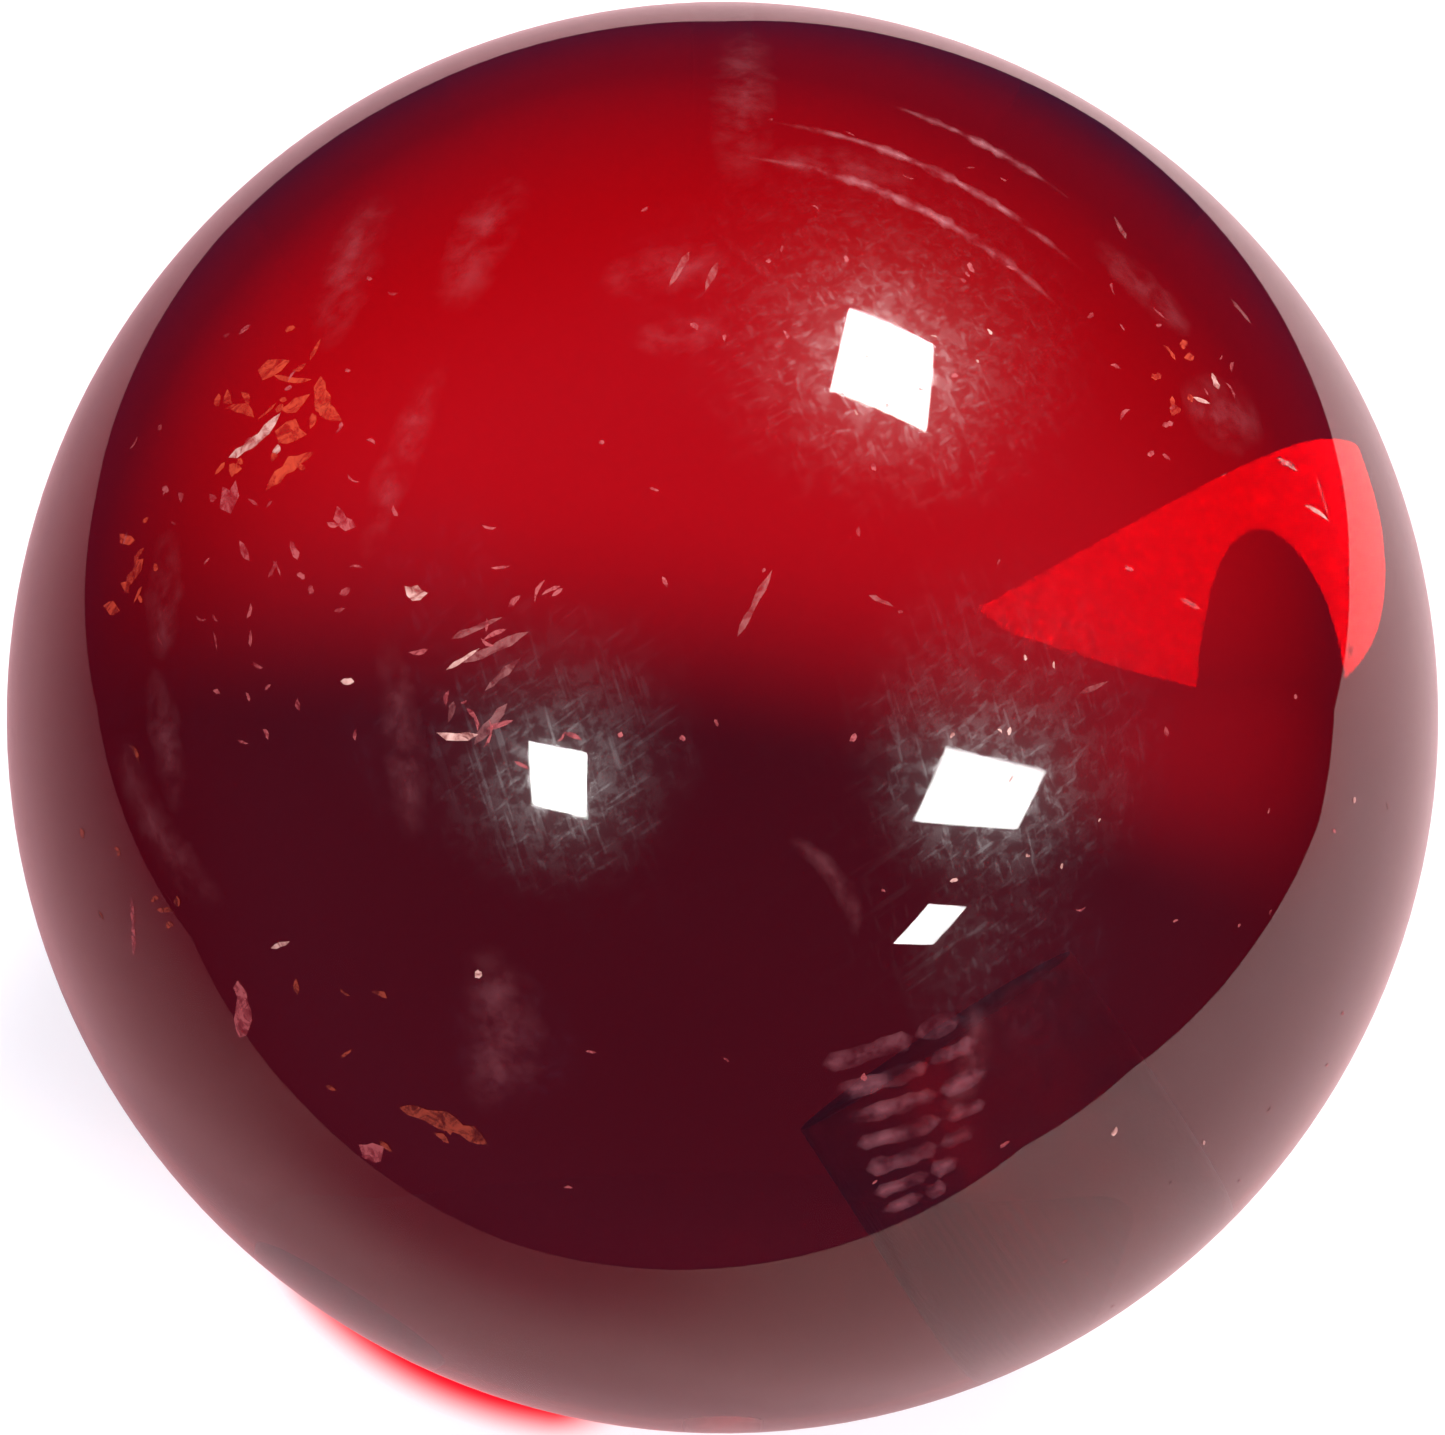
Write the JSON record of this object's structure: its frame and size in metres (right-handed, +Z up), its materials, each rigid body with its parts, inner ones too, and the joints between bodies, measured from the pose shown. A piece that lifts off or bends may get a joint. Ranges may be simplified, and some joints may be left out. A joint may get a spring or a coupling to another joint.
{
  "type": "bowling ball",
  "caption": "Transparent ruby-red tenpin bowling ball cast in clear resin, drilled for a fingertip grip with finger inserts and a thumb slug.",
  "frame": {"origin": "centre of the ball", "axes": "+Z up, away from the floor that the ball rests on; -Y towards the drilled side, whose grip centre slopes 30 degrees downward; +X to the thumb's side of the grip and -X to the fingers' side"},
  "size_m": [0.217, 0.217, 0.217],
  "materials": {
    "ruby_polyester": "gloss",
    "ruby_filler": "gloss",
    "ruby_block": "gloss",
    "pin_resin": "satin",
    "insert_vinyl": "matte",
    "slug_urethane": "satin"
  },
  "bodies": {
    "root": {"coverstock": "ruby_polyester", "filler_core": "ruby_filler", "weight_block": "ruby_block", "core_pin": "pin_resin", "locator_pin": "pin_resin", "middle_finger_insert": "insert_vinyl", "ring_finger_insert": "insert_vinyl", "thumb_slug": "slug_urethane"}
  },
  "joints": []
}
